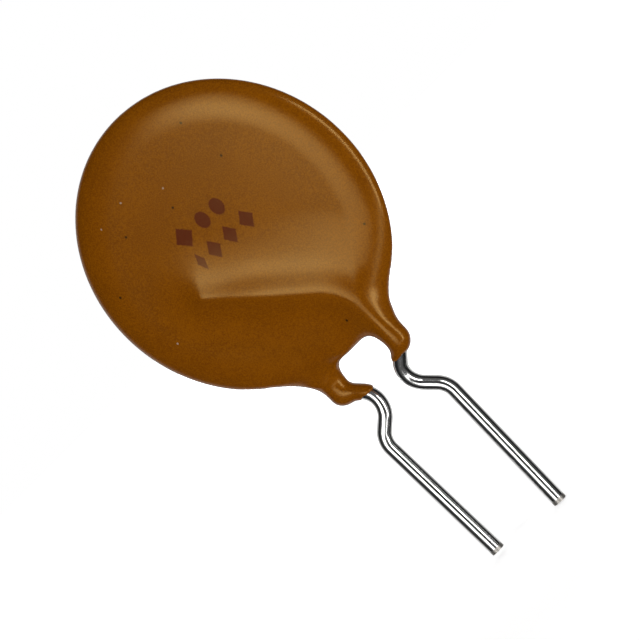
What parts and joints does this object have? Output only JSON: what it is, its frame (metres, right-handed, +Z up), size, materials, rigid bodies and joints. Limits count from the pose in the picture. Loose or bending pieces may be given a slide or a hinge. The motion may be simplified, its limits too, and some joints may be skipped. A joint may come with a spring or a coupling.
{
  "type": "resettable fuse",
  "caption": "Radial-leaded polymer resettable fuse: a flat epoxy-dipped disc on two kinked wire leads, which limits current when it gets hot.",
  "frame": {"origin": "on the circuit board's top face, where the kinks in the leads stand, midway in the disc's thickness and under the disc's centre", "axes": "+Z up from the board through the disc's centre, -Y out of the front face, +X to the right seen from the front"},
  "size_m": [0.0174, 0.0032, 0.031],
  "materials": {
    "epoxy": "dipped orange-brown epoxy, satin to gloss, slightly uneven",
    "polymer": "carbon-filled polymer, hidden inside",
    "foil": "thin nickel foil, hidden inside",
    "tinned_wire": "bright tinned copper wire with fine drawing lines",
    "solder": "dull solder, hidden inside"
  },
  "bodies": {
    "root": {"epoxy_coating": "epoxy", "polymer_disc": "polymer", "front_foil": "foil", "back_foil": "foil", "front_lead": "tinned_wire", "back_lead": "tinned_wire", "front_solder": "solder", "back_solder": "solder"}
  },
  "joints": []
}
